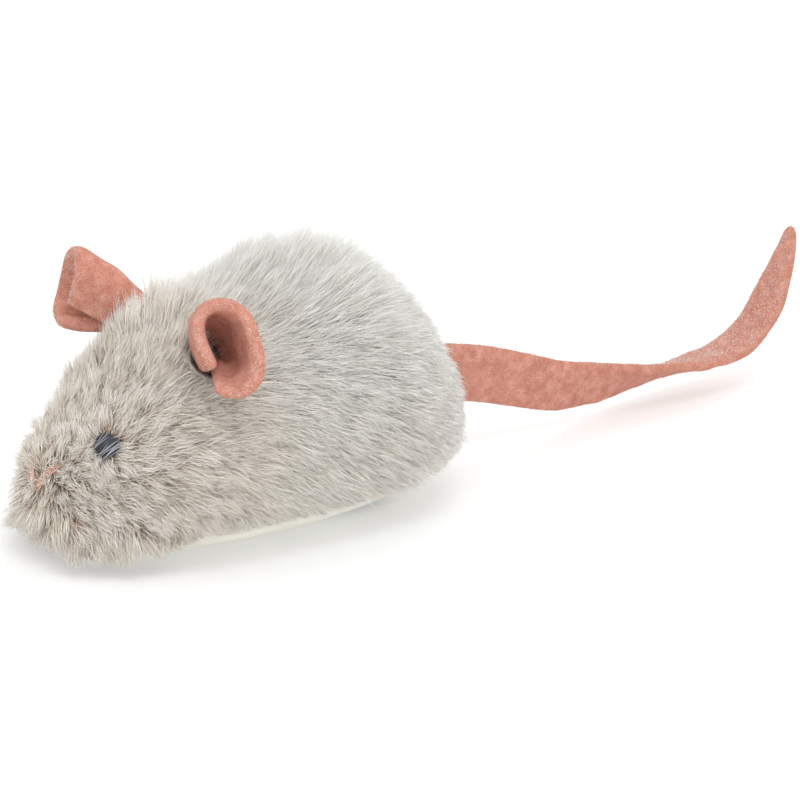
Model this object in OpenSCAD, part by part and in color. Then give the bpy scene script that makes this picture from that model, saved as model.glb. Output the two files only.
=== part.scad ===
// Clockwork mouse: a plush-covered wind-up toy on a plastic base.
// +X is the nose, +Y the mouse's left side, +Z up. The wheels stand on Z = 0.

/* [Base] */
// Half length of the base tray's underside
base_half_len = 36; // [35:0.5:37]
// Half width of the base tray's underside
base_half_wid = 15.8; // [15.5:0.1:16.5]
// Height of the tray's underside above the floor
base_lift = 1.8; // [1.5:0.1:2]
// Height of the tray's wall
base_wall_h = 4.5; // [4:0.1:5]

/* [Wheels] */
// Outer radius of the driving wheels
wheel_r = 7.5; // [7.4:0.1:7.6]
// Width of the driving wheels
wheel_w = 2.8; // [2.4:0.1:2.8]
// Radius of the drive axle
axle_r = 1; // [0.9:0.05:1]
// Radius of the front roller
roller_r = 4; // [3.8:0.1:4]
// Width of the front roller
roller_w = 6; // [5:0.5:6]

/* [Key] */
// Span of the key's two wings
key_span = 19; // [16:0.5:21]
// Thickness of the key's plate
key_t = 1.6; // [1.2:0.1:2]

/* [Plush body] */
// Thickness of the cover's knitted backing
backing_t = 2; // [1.5:0.1:2.5]
// Depth of packed pile counted as part of the cover
pile_t = 2.5; // [2:0.5:3]

/* [Felt] */
// Thickness of the felt
felt_t = 2; // [1.5:0.1:2.2]
// Width of the tail strip
tail_w = 10.5; // [9:0.5:11]

/* [Hidden] */
$fn = 48;
eps = 0.01;

// Teeth: the great wheel drives the second pinion, the second gear drives the third pinion,
// and the third gear drives the axle pinion
great_teeth = 32;
second_pinion_teeth = 10;
second_gear_teeth = 30;
third_pinion_teeth = 10;
third_gear_teeth = 25;
axle_pinion_teeth = 12;

// Clearances
run_gap = 0.05;
free_gap = 0.4;

// Colours
ivory = [0.86, 0.85, 0.76];
black_plastic = [0.16, 0.17, 0.18];
white_plastic = [0.9, 0.9, 0.88];
steel = [0.72, 0.73, 0.75];
brass = [0.8, 0.66, 0.32];
rubber_black = [0.08, 0.08, 0.08];
plush_grey = [0.78, 0.75, 0.7];
fibre_white = [0.93, 0.93, 0.92];
felt_pink = [0.88, 0.56, 0.49];
thread_navy = [0.1, 0.13, 0.2];
thread_pink = [0.92, 0.55, 0.5];

// Base tray: an ellipse that flares upwards
base_x = -2;
base_floor_t = 1.5;
base_wall_t = 1.4;
base_flare_x = 1.5;
base_flare_y = 2.2;
base_chamfer = 0.8;
base_top = base_lift + base_wall_h;
floor_top = base_lift + base_floor_t;
oval_sides = 96;

// Driving axle and front roller
axle_x = -17;
axle_z = wheel_r;
wheel_y = 7.6;
axle_half = 11;
hub_r = 5.6;
hub_boss_r = 2;
hub_web_t = 1.2;
slot_gap = 0.5;
slot_half = 6.8;
roller_x = 21;
roller_z = roller_r;
roller_pin_r = 0.8;
roller_ear_t = 1.4;
roller_ear_r = 2.1;
roller_ear_gap = roller_w / 2 + free_gap;
roller_pin_y = (roller_ear_gap + roller_ear_t) * [-1, 1];

// Gear train: modules, pressure angle, and the slack that keeps the teeth free
m_first = 0.5;
m_rest = 0.4;
pressure_angle = 28;
addendum = 0.8;
dedendum = 1;
tooth_slack = 0.08;
centre_slack = 0.05;
flank_steps = 4;
// Degrees by which a tooth's foot is wider than its flank's start
root_flare = 0.2;
shaft_r = 0.6;
arbor_r = 1.2;

// Layers of the train along Y: [right face, left face]
great_y = [-0.6, 0.8];
second_pinion_y = [-0.8, 1.2];
second_gear_y = [2.4, 3.4];
third_pinion_y = [2.2, 4];
third_gear_y = [-3.2, -2.2];
axle_pinion_y = [-3.4, -2];
spring_y = [-5.6, -1.3];

// Shaft places as [x, z]. The second shaft is where both of its meshes close.
function mesh_dist(m, a, b) = m * (a + b) / 2 + centre_slack;
arbor_p = [-1, 14];
axle_p = [axle_x, axle_z];
third_p = axle_p + [0, mesh_dist(m_rest, third_gear_teeth, axle_pinion_teeth)];
d_first = mesh_dist(m_first, great_teeth, second_pinion_teeth);
d_second = mesh_dist(m_rest, second_gear_teeth, third_pinion_teeth);
span = norm(third_p - arbor_p);
along = (third_p - arbor_p) / span;
reach = (d_first * d_first - d_second * d_second + span * span) / (2 * span);
rise = sqrt(d_first * d_first - reach * reach);
second_p = arbor_p + reach * along + rise * [along[1], -along[0]];

// Tooth phases: a tooth of each driver points at its follower, which has a gap there
function bearing(a, b) = atan2(b[1] - a[1], b[0] - a[0]);
function gap_phase(a, b, teeth) = bearing(a, b) + 180 + 180 / teeth;

// Motor case
case_y = [-7, 6];
case_t = 1;
case_x = [-24, 9.4];
case_z = [floor_top, 27.4];
case_corner = 2;
pillar_r = 1.4;
pillars = [[6.2, 24.2], [-20.8, 24.2], [-8, 5.9], [6.4, 6.2]];
case_screw_r = 0.5;
case_head_r = 1.2;
case_head_t = 0.7;
case_screw_len = 6;
foot_r = 2.6;
foot_h = 6;
foot_x = [case_x[0] - 2, case_x[1] + 2];
base_screw_r = 1;
base_head_r = 1.9;
base_head_t = 1;
base_screw_len = 6.4;

// Mainspring
spring_in = 1.7;
spring_out = 7.2;
spring_turns = 6;
spring_t = 0.3;
spring_steps = 24;
spring_end = -50;
post_r = 0.6;

// Winding key
key_y = [-34, -25.4];
key_lobe_r = 4.4;
key_eye_r = 1.9;
stem_r = 2.2;
stem_y = [-27.4, -18.4];
arbor_out = -24.6;
key_hole_r = 3.4;
arbor_hole_r = 2;

// Plush body stations: [x, half width, underside, widest height, top]
skin = [
    [-38.5, 5, 7, 11, 15],
    [-37, 9.5, 6.3, 11, 21],
    [-33.5, 13.5, 6.3, 11, 27],
    [-28, 16.3, 6.3, 11, 32],
    [-21, 18, 6.3, 11, 35.3],
    [-12, 18.6, 6.3, 11, 37],
    [-2, 18.6, 6.3, 11, 36.6],
    [8, 18, 6.3, 11, 35],
    [16, 16.8, 6.3, 11, 31.8],
    [23, 14.8, 6.3, 11, 27.8],
    [29, 12.2, 6.3, 11, 24.2],
    [34, 9.2, 6.6, 11.5, 21],
    [37, 6.2, 8.5, 13.5, 18.6],
    [39, 2.6, 12, 14.2, 16.4]
];
skin_half = 39;
ring_steps = 16;
hem_tuck = 0.94;

// Ears: foot inside the cover, mouth outside it
ear_foot = [11, 7.5, 29.5];
ear_mouth = [17.5, 21, 37.5];
ear_face = [0.68, 0.63, 0.37];
ear_foot_r = 4;
ear_mouth_w = 6.4;
ear_mouth_h = 9.2;
ear_turn = 12;
ear_hull_fn = 32;
// Share of the ear, from its foot, that isn't hollowed
ear_solid = 0.4;

// Eyes and nose, on the skin
eye_p = [32.4, 7.6, 21.2];
eye_r = 2.4;
nose_p = [41, 0, 14.6];
nose_r = 1.8;

// Tail route: [x, y, z, roll], the roll turning the strip from upright to flat
tail_route = [
    [-39, 0, 16.6, 0],
    [-50, 0, 14.8, 0],
    [-61, 0, 11.6, 4],
    [-70, 0, 8.8, 12],
    [-79, 0, 7.2, 28],
    [-88, 0, 6.5, 50],
    [-97, 0, 6.3, 70],
    [-105, 0, 6.3, 84],
    [-111.5, 0, 6.9, 90],
    [-116.8, 0, 9.2, 90],
    [-120.6, 0, 13.3, 90],
    [-123.4, 0, 18.4, 90],
    [-125.4, 0, 23.4, 90],
    [-126.8, 0, 28, 90]
];
tail_end_w = 8.4;
tail_tip_w = 1.4;

// The middle of the toy's box, from the tail's tip to the nose and from the key to the left ear
tail_reach = -127.8;
ear_reach = 27;
mid_x = (tail_reach + nose_p[0] + nose_r) / 2;
mid_y = (key_y[0] + ear_reach) / 2;

// Moves the toy so that its box is centred over the origin
module placed() {
    translate([-mid_x, -mid_y, 0]) children();
}

// A solid between two values of Y, drawn in the XZ plane
module across(y) {
    translate([0, y[1], 0]) rotate([90, 0, 0]) linear_extrude(y[1] - y[0]) children();
}

// A round bar along Y through the point p = [x, z]
module bar(p, r, y) {
    translate([p[0], y[1], p[1]]) rotate([90, 0, 0]) cylinder(r = r, h = y[1] - y[0]);
}

// A rectangle with round corners
module round_rect(x, y, r) {
    translate([x[0] + r, y[0]]) square([x[1] - x[0] - 2 * r, y[1] - y[0]]);
    translate([x[0], y[0] + r]) square([x[1] - x[0], y[1] - y[0] - 2 * r]);
    for (cx = [x[0] + r, x[1] - r], cy = [y[0] + r, y[1] - r]) translate([cx, cy]) circle(r);
}

// An ellipse about the base's centre
function oval(a, b) = [for (i = [0 : oval_sides - 1]) let (t = 360 * i / oval_sides)
    [base_x + a * cos(t), b * sin(t)]];

module oval_disc(a, b, z) {
    translate([0, 0, z]) linear_extrude(eps) polygon(oval(a, b));
}

// Involute spur gear in its own plane, one tooth's middle at the angle phase
function involute(r, base_r) = let (a = acos(base_r / r)) tan(a) * 180 / PI - a;
function tooth(m, teeth) =
    let (
        pitch_r = m * teeth / 2,
        base_r = pitch_r * cos(pressure_angle),
        tip_r = pitch_r + addendum * m,
        root_r = pitch_r - dedendum * m,
        start_r = max(base_r, root_r),
        half = 90 / teeth - tooth_slack / 2 / pitch_r * 180 / PI + involute(pitch_r, base_r),
        flank = [for (i = [0 : flank_steps]) let (r = start_r + (tip_r - start_r) * i / flank_steps)
            [r, half - involute(r, base_r)]]
    )
    concat(
        [[root_r, -half - root_flare]],
        [for (f = flank) [f[0], -f[1]]],
        [for (i = [flank_steps : -1 : 0]) flank[i]],
        [[root_r, half + root_flare]]
    );
module gear_shape(m, teeth, phase) {
    outline = tooth(m, teeth);
    polygon([for (i = [0 : teeth - 1], p = outline) let (a = phase + 360 * i / teeth + p[1])
        p[0] * [cos(a), sin(a)]]);
}
module gear(p, m, teeth, phase, y, bore_r) {
    translate([p[0], 0, p[1]]) across(y) difference() {
        gear_shape(m, teeth, phase);
        circle(bore_r);
    }
}

// One ring of the plush body: grown by g outside the skin, cut flat at the height low
function ring(s, g, low) =
    let (
        x = s[0] * (1 + g / skin_half),
        w = max(s[1] + g, 1),
        under = s[2] > base_top ? max(s[2] - g, low) : low,
        top = s[4] + g
    )
    concat(
        [for (i = [0 : ring_steps]) let (t = 180 * i / ring_steps)
            [x, w * cos(t), s[3] + (top - s[3]) * sin(t)]],
        [[x, -hem_tuck * w, under], [x, hem_tuck * w, under]]
    );

// A closed solid through rings of equal length
module loft(rings) {
    n = len(rings[0]);
    last = len(rings) - 1;
    sides = [for (i = [0 : last - 1], j = [0 : n - 1]) let (k = (j + 1) % n)
        each [[i * n + j, (i + 1) * n + j, i * n + k], [i * n + k, (i + 1) * n + j, (i + 1) * n + k]]];
    polyhedron(
        concat([for (r = rings) each r]),
        concat([[for (j = [0 : n - 1]) j]], sides, [[for (j = [n - 1 : -1 : 0]) last * n + j]])
    );
}
module plush_solid(g, low) {
    loft([for (s = skin) ring(s, g, low)]);
}

// Base tray: floor slab, flared wall, roller ears, and holes for wheels and screws
module base_tray() {
    foot_len = base_half_len - base_chamfer;
    foot_wid = base_half_wid - base_chamfer;
    rim_len = base_half_len + base_flare_x;
    rim_wid = base_half_wid + base_flare_y;
    color(ivory) placed() difference() {
        union() {
            translate([0, 0, base_lift]) linear_extrude(base_floor_t) polygon(oval(foot_len, foot_wid));
            difference() {
                hull() {
                    oval_disc(foot_len, foot_wid, base_lift);
                    oval_disc(base_half_len, base_half_wid, base_lift + base_chamfer);
                    oval_disc(rim_len, rim_wid, base_top - eps);
                }
                hull() {
                    oval_disc(base_half_len - base_wall_t, base_half_wid - base_wall_t, floor_top);
                    oval_disc(rim_len - base_wall_t, rim_wid - base_wall_t, base_top);
                }
            }
            for (side = [-1, 1]) roller_ear(side);
        }
        for (side = [-1, 1]) wheel_slot(side);
        translate([roller_x - roller_r - slot_gap, -roller_ear_gap, base_lift - 1])
            cube([2 * (roller_r + slot_gap), 2 * roller_ear_gap, base_floor_t + 2]);
        bar([roller_x, roller_z], roller_pin_r, roller_pin_y);
        for (x = foot_x) translate([x, 0, base_lift - 1]) {
            cylinder(r = base_screw_r + run_gap, h = base_floor_t + 2);
            cylinder(r = base_head_r + run_gap, h = base_head_t + 1);
        }
    }
}
module wheel_slot(side) {
    centre_y = side * (wheel_y + wheel_w / 2);
    half_y = wheel_w / 2 + slot_gap;
    translate([axle_x - slot_half, centre_y - half_y, base_lift - 1])
        cube([2 * slot_half, 2 * half_y, base_floor_t + 2]);
}
module roller_ear(side) {
    inner = side * roller_ear_gap;
    outer = side * (roller_ear_gap + roller_ear_t);
    across([min(inner, outer), max(inner, outer)]) translate([roller_x, 0]) {
        translate([-roller_ear_r, base_lift]) square([2 * roller_ear_r, roller_z - base_lift]);
        translate([0, roller_z]) circle(roller_ear_r);
    }
}

// Motor case: a deep housing, closed by a flat cover on the key's side
module shaft_holes(y) {
    bar(arbor_p, arbor_r + run_gap, y);
    bar(second_p, shaft_r + run_gap, y);
    bar(third_p, shaft_r + run_gap, y);
    bar(axle_p, axle_r + run_gap, y);
}
module motor_housing() {
    split_y = case_y[0] + case_t;
    end_y = case_y[1] - case_t;
    color(black_plastic) placed() difference() {
        union() {
            difference() {
                across([split_y, case_y[1]]) round_rect(case_x, case_z, case_corner);
                across([split_y - 1, end_y])
                    round_rect(case_x + case_t * [1, -1], case_z + case_t * [1, -1], case_corner - case_t);
            }
            for (p = pillars) bar(p, pillar_r, [split_y, end_y + case_t / 2]);
            for (x = foot_x) translate([x, 0, case_z[0]]) cylinder(r = foot_r, h = foot_h);
        }
        shaft_holes([end_y - 1, case_y[1] + 1]);
        for (p = pillars) bar(p, case_screw_r, [split_y - 1, case_y[0] + case_screw_len]);
        for (x = foot_x) translate([x, 0, case_z[0] - 1])
            cylinder(r = base_screw_r, h = base_screw_len - base_floor_t + 1);
    }
}
module housing_cover() {
    inner_y = case_y[0] + case_t;
    post_p = arbor_p + (spring_out + post_r) * [cos(spring_end), sin(spring_end)];
    color(black_plastic) placed() difference() {
        union() {
            across([case_y[0], inner_y]) round_rect(case_x, case_z, case_corner);
            bar(post_p, post_r, [inner_y - case_t / 2, spring_y[1]]);
        }
        shaft_holes([case_y[0] - 1, inner_y + 1]);
        for (p = pillars) bar(p, case_screw_r + run_gap, [case_y[0] - 1, inner_y + 1]);
    }
}
module case_screws() {
    color(steel) placed() for (p = pillars) {
        bar(p, case_head_r, [case_y[0] - case_head_t, case_y[0]]);
        bar(p, case_screw_r, [case_y[0] - eps, case_y[0] + case_screw_len]);
    }
}
module base_screws() {
    color(steel) placed() for (x = foot_x) translate([x, 0, base_lift]) {
        cylinder(r = base_head_r, h = base_head_t);
        cylinder(r = base_screw_r, h = base_screw_len);
    }
}

// Mainspring: a flat spiral, its outer end hooked on the cover's post
function spiral(offset_r) = [for (i = [0 : spring_turns * spring_steps])
    let (
        t = i / (spring_turns * spring_steps),
        a = spring_end - 360 * spring_turns * (1 - t),
        r = spring_in + (spring_out - spring_in) * t + offset_r
    )
    arbor_p + r * [cos(a), sin(a)]];
module mainspring() {
    inner = spiral(-spring_t / 2);
    outer = spiral(spring_t / 2);
    color(steel) placed() across(spring_y)
        polygon(concat(outer, [for (i = [len(inner) - 1 : -1 : 0]) inner[i]]));
}

// Winding arbor, its wheel, and the key pushed on its outer end
module winding_arbor() {
    color(steel) placed() bar(arbor_p, arbor_r, [arbor_out, case_y[1] + case_head_t]);
}
module great_wheel() {
    color(brass) placed()
        gear(arbor_p, m_first, great_teeth, bearing(arbor_p, second_p), great_y, arbor_r);
}
module winding_key() {
    lobe_y = (key_y[0] + key_y[1]) / 2;
    lobe_z = key_span / 2 - key_lobe_r;
    color(steel) placed() difference() {
        union() {
            bar(arbor_p, stem_r, stem_y);
            translate([arbor_p[0] - key_t / 2, 0, arbor_p[1]]) rotate([90, 0, 90]) linear_extrude(key_t)
                difference() {
                    union() {
                        for (side = [-1, 1]) translate([lobe_y, side * lobe_z]) circle(key_lobe_r);
                        translate([lobe_y - stem_r, -lobe_z]) square([2 * stem_r, 2 * lobe_z]);
                    }
                    for (side = [-1, 1]) translate([lobe_y, side * lobe_z]) circle(key_eye_r);
                }
        }
        bar(arbor_p, arbor_r, [arbor_out, stem_y[1] + 1]);
    }
}

// Second and third shafts, each with a gear and a pinion pressed on it
module shaft(p) {
    color(steel) placed() bar(p, shaft_r, case_y);
}
module second_shaft() {
    shaft(second_p);
}
module second_gear() {
    color(white_plastic) placed()
        gear(second_p, m_rest, second_gear_teeth, bearing(second_p, third_p), second_gear_y, shaft_r);
}
module second_pinion() {
    phase = gap_phase(arbor_p, second_p, second_pinion_teeth);
    color(brass) placed() gear(second_p, m_first, second_pinion_teeth, phase, second_pinion_y, shaft_r);
}
module third_shaft() {
    shaft(third_p);
}
module third_gear() {
    color(white_plastic) placed()
        gear(third_p, m_rest, third_gear_teeth, bearing(third_p, axle_p), third_gear_y, shaft_r);
}
module third_pinion() {
    phase = gap_phase(second_p, third_p, third_pinion_teeth);
    color(white_plastic) placed() gear(third_p, m_rest, third_pinion_teeth, phase, third_pinion_y, shaft_r);
}

// Drive axle, its pinion, and the two wheels
module drive_axle() {
    color(steel) placed() bar(axle_p, axle_r, [-axle_half, axle_half]);
}
module axle_pinion() {
    phase = gap_phase(third_p, axle_p, axle_pinion_teeth);
    color(white_plastic) placed() gear(axle_p, m_rest, axle_pinion_teeth, phase, axle_pinion_y, axle_r);
}
module on_axle(side) {
    placed() translate([axle_x, side * wheel_y, axle_z]) rotate([-90 * side, 0, 0])
        rotate_extrude() children();
}
module hub(side) {
    color(white_plastic) on_axle(side) {
        translate([axle_r, 0]) square([hub_boss_r - axle_r, wheel_w]);
        translate([axle_r, 0]) square([hub_r - axle_r, hub_web_t]);
        translate([hub_r - hub_web_t, 0]) square([hub_web_t, wheel_w]);
    }
}
module tyre(side) {
    edge = 0.5;
    color(rubber_black) on_axle(side) polygon([
        [hub_r, 0], [wheel_r - edge, 0], [wheel_r, edge],
        [wheel_r, wheel_w - edge], [wheel_r - edge, wheel_w], [hub_r, wheel_w]
    ]);
}
module wheel_left() {
    hub(1);
}
module wheel_right() {
    hub(-1);
}
module tyre_left() {
    tyre(1);
}
module tyre_right() {
    tyre(-1);
}

// Front roller on its pin
module front_roller() {
    edge = 0.6;
    color(white_plastic) placed() translate([roller_x, -roller_w / 2, roller_z]) rotate([-90, 0, 0])
        rotate_extrude() polygon([
            [roller_pin_r + run_gap, 0], [roller_r - edge, 0], [roller_r, edge],
            [roller_r, roller_w - edge], [roller_r - edge, roller_w], [roller_pin_r + run_gap, roller_w]
        ]);
}
module roller_pin() {
    color(steel) placed() bar([roller_x, roller_z], roller_pin_r, roller_pin_y);
}

// Padding: fibre fill around the motor case, hollowed for wheels, roller and arbor
module padding() {
    well_top = axle_z + wheel_r + free_gap;
    well_half = wheel_r + free_gap;
    well_y = axle_half + free_gap;
    box_half = -case_y[0] + case_head_t + free_gap;
    low = base_top - 1;
    color(fibre_white) placed() difference() {
        plush_solid(-backing_t - eps, base_top);
        translate([case_x[0] - free_gap, -box_half, low])
            cube([case_x[1] - case_x[0] + 2 * free_gap, 2 * box_half, case_z[1] + free_gap - low]);
        translate([axle_x - well_half, -well_y, low]) cube([2 * well_half, 2 * well_y, well_top - low]);
        translate([roller_x - roller_r - slot_gap, -roller_ear_gap, low])
            cube([2 * (roller_r + slot_gap), 2 * roller_ear_gap, 2 * roller_r + free_gap - low]);
        for (x = foot_x) translate([x, 0, low]) cylinder(r = foot_r + free_gap, h = foot_h);
        bar(arbor_p, arbor_hole_r, [-skin_half, 0]);
    }
}

// Plush cover: knitted backing and packed pile, open underneath, with a hole for the key
module plush_cover() {
    color(plush_grey) placed() difference() {
        plush_solid(pile_t, base_top);
        plush_solid(-backing_t, base_top - 1);
        bar(arbor_p, key_hole_r, [-skin_half, 0]);
    }
}

// Ears: felt cups that open forwards and outwards
module ear_section(p, w, h, t) {
    tilt = acos(ear_face[2] / norm(ear_face));
    spin = atan2(ear_face[1], ear_face[0]);
    translate(p) rotate([0, tilt, spin]) rotate([0, 0, ear_turn]) scale([h, w, t])
        cylinder(r = 1, h = 1, center = true, $fn = ear_hull_fn);
}
module ear() {
    mouth_in = ear_mouth + ear_face * felt_t;
    cup_end = ear_foot + ear_solid * (ear_mouth - ear_foot);
    color(felt_pink) difference() {
        hull() {
            ear_section(ear_foot, ear_foot_r, ear_foot_r, 1);
            ear_section(ear_mouth, ear_mouth_w, ear_mouth_h, 1);
        }
        hull() {
            ear_section(cup_end, 1, 1, 1);
            ear_section(mouth_in, ear_mouth_w - felt_t + 1, ear_mouth_h - felt_t + 1, 2 * felt_t);
        }
    }
}
module ear_left() {
    placed() ear();
}
module ear_right() {
    placed() mirror([0, 1, 0]) ear();
}

// Eyes and nose: pads of satin stitches
module eye_left() {
    color(thread_navy) placed() translate(eye_p) sphere(eye_r);
}
module eye_right() {
    color(thread_navy) placed() mirror([0, 1, 0]) translate(eye_p) sphere(eye_r);
}
module nose() {
    color(thread_pink) placed() translate(nose_p) sphere(nose_r);
}

// Tail: one felt strip that twists from upright to flat and curls up to a point
function tail_dir(i) =
    let (a = tail_route[max(i - 1, 0)], b = tail_route[min(i + 1, len(tail_route) - 1)])
    [b[0] - a[0], b[2] - a[2]] / norm([b[0] - a[0], b[2] - a[2]]);
function tail_ring(i) =
    let (
        p = tail_route[i],
        d = tail_dir(i),
        f = i / (len(tail_route) - 1),
        w = f < 1 ? tail_w - (tail_w - tail_end_w) * f * f : tail_tip_w,
        up = [d[1], 0, -d[0]],
        wide = (cos(p[3]) * up + sin(p[3]) * [0, 1, 0]) * w / 2,
        thick = (-sin(p[3]) * up + cos(p[3]) * [0, 1, 0]) * felt_t / 2,
        c = [p[0], p[1], p[2]]
    )
    [c + wide + thick, c - wide + thick, c - wide - thick, c + wide - thick];
module tail() {
    color(felt_pink) placed() loft([for (i = [0 : len(tail_route) - 1]) tail_ring(i)]);
}

base_tray();
motor_housing();
housing_cover();
case_screws();
base_screws();
mainspring();
winding_arbor();
great_wheel();
winding_key();
second_shaft();
second_gear();
second_pinion();
third_shaft();
third_gear();
third_pinion();
drive_axle();
axle_pinion();
wheel_left();
wheel_right();
tyre_left();
tyre_right();
front_roller();
roller_pin();
padding();
plush_cover();
ear_left();
ear_right();
eye_left();
eye_right();
nose();
tail();
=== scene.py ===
"""Looks for the clockwork mouse: plush pile, felt ears and tail, stitched face, and finishes for the motor.

Points are written in the mouse's own frame, in millimetres: +X to the nose, +Y to its left, +Z up, with X = 0
just behind the ears and the floor at Z = 0. at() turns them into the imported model's frame, in metres.
"""

import math

import bpy
import numpy as np
from mathutils import Matrix, Vector


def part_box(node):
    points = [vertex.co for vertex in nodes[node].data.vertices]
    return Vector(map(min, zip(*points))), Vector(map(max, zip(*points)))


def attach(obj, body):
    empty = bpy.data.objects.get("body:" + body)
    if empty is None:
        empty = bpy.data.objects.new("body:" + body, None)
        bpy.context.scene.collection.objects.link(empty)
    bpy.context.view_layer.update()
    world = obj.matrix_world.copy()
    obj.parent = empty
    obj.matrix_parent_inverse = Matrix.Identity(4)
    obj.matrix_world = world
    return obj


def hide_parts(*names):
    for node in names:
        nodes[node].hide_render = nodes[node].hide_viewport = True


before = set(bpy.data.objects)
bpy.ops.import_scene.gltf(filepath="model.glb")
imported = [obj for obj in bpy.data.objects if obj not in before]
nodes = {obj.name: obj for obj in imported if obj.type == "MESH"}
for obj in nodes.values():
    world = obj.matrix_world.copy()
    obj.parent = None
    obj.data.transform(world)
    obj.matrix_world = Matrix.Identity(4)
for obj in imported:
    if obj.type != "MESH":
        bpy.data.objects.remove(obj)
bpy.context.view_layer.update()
MM = 0.001
rng = np.random.default_rng(585)

# The drive axle's middle in the mouse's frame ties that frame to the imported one
AXLE = np.array([-17, 0, 7.5])
axle_lo, axle_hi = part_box("drive_axle")
ORIGIN = np.array((axle_lo + axle_hi) / 2) - AXLE * MM


def at(points):
    """Points of the mouse's frame, in millimetres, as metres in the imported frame."""
    return np.asarray(points, float) * MM + ORIGIN


def unit(v):
    """Vectors along the last axis, each made one long."""
    return v / np.maximum(np.linalg.norm(v, axis=-1, keepdims=True), 1e-9)


def ease(x, low, high):
    """0 below low, 1 above high, and smooth between them."""
    t = np.clip((np.asarray(x, float) - low) / (high - low), 0, 1)
    return t * t * (3 - 2 * t)


# ---------------------------------------------------------------- camera and stage

VIEW_AZIMUTH = math.radians(37)
VIEW_ELEVATION = math.radians(20)
VIEW_DISTANCE = 650
VIEW_TARGET_Z = 2
AIM_RIGHT = 26.7  # how far the frame's middle lies to the right of the target, in millimetres
AIM_UP = 16.8
FLOOR_HALF = 3  # metres
LENS_SCALE = 6  # pixels of an 800-pixel frame for each millimetre at the view distance


def make_camera():
    """The view from in front of the mouse's left side, with the mouse low and left in the frame."""
    flat = math.cos(VIEW_ELEVATION)
    east, north = math.sin(VIEW_AZIMUTH), math.cos(VIEW_AZIMUTH)
    forward = -np.array([east * flat, north * flat, math.sin(VIEW_ELEVATION)])
    right = unit(np.cross(forward, [0, 0, 1]))
    up = np.cross(right, forward)
    eye = np.array([0, 0, VIEW_TARGET_Z]) - forward * VIEW_DISTANCE
    aim = unit(forward * VIEW_DISTANCE + right * AIM_RIGHT + up * AIM_UP)
    side = unit(np.cross(aim, up))
    data = bpy.data.cameras.new("camera")
    data.sensor_width = 36
    data.lens = data.sensor_width * LENS_SCALE * VIEW_DISTANCE / 800
    data.clip_start = 0.01
    cam = bpy.data.objects.new("camera", data)
    bpy.context.scene.collection.objects.link(cam)
    turn = Matrix((side, np.cross(side, aim), -aim)).transposed()
    cam.matrix_world = Matrix.Translation(at(eye)) @ turn.to_4x4()
    bpy.context.scene.camera = cam


def area_light(name, place, size, power, target=(0, 0, 15)):
    data = bpy.data.lights.new(name, "AREA")
    data.shape = "DISK"
    data.size = size
    data.energy = power
    lamp = bpy.data.objects.new(name, data)
    lamp.location = at(place)
    lamp.rotation_euler = Vector(at(target) - at(place)).to_track_quat("-Z", "Y").to_euler()
    bpy.context.scene.collection.objects.link(lamp)


def make_stage():
    """A white, slightly luminous floor, an even white sky, and three soft lamps."""
    world = bpy.data.worlds.new("studio")
    world.use_nodes = True
    world.node_tree.nodes["Background"].inputs["Color"].default_value = (1, 1, 1, 1)
    world.node_tree.nodes["Background"].inputs["Strength"].default_value = 1.04
    bpy.context.scene.world = world
    bpy.context.scene.view_settings.view_transform = "Standard"
    corners = [(x * FLOOR_HALF, y * FLOOR_HALF, 0) for x, y in ((-1, -1), (1, -1), (1, 1), (-1, 1))]
    floor = mesh_object("floor", corners, [(0, 1, 2, 3)])
    glow = {"Emission_Color": (1, 1, 1), "Emission_Strength": 0.3}
    paint(floor, Shader("floor_white", (0.64, 0.64, 0.635), 0.9, **glow).material)
    area_light("key_light", (120, 260, 620), 0.35, 1.05)
    area_light("fill_light", (300, 560, 150), 0.5, 0.9)
    area_light("back_light", (-420, -300, 260), 0.5, 0.75)


# ---------------------------------------------------------------- meshes


def mesh_object(name, points, faces):
    mesh = bpy.data.meshes.new(name)
    mesh.from_pydata([tuple(map(float, p)) for p in points], [], [tuple(map(int, f)) for f in faces])
    mesh.update()
    thing = bpy.data.objects.new(name, mesh)
    bpy.context.scene.collection.objects.link(thing)
    return thing


def smooth(thing):
    thing.data.polygons.foreach_set("use_smooth", np.ones(len(thing.data.polygons), bool))
    thing.data.update()
    return thing


def paint(thing, *materials):
    thing.data.materials.clear()
    for m in materials:
        thing.data.materials.append(m)
    return thing


def grid_faces(rows, cols, closed=False):
    """Quads of a grid of points stored row by row, joined round when closed."""
    last = cols if closed else cols - 1
    return [(i * cols + j, i * cols + (j + 1) % cols, (i + 1) * cols + (j + 1) % cols, (i + 1) * cols + j)
            for i in range(rows - 1) for j in range(last)]


def apply_modifiers(thing):
    graph = bpy.context.evaluated_depsgraph_get()
    made = bpy.data.meshes.new_from_object(thing.evaluated_get(graph))
    thing.modifiers.clear()
    thing.data = made
    return thing


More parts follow.
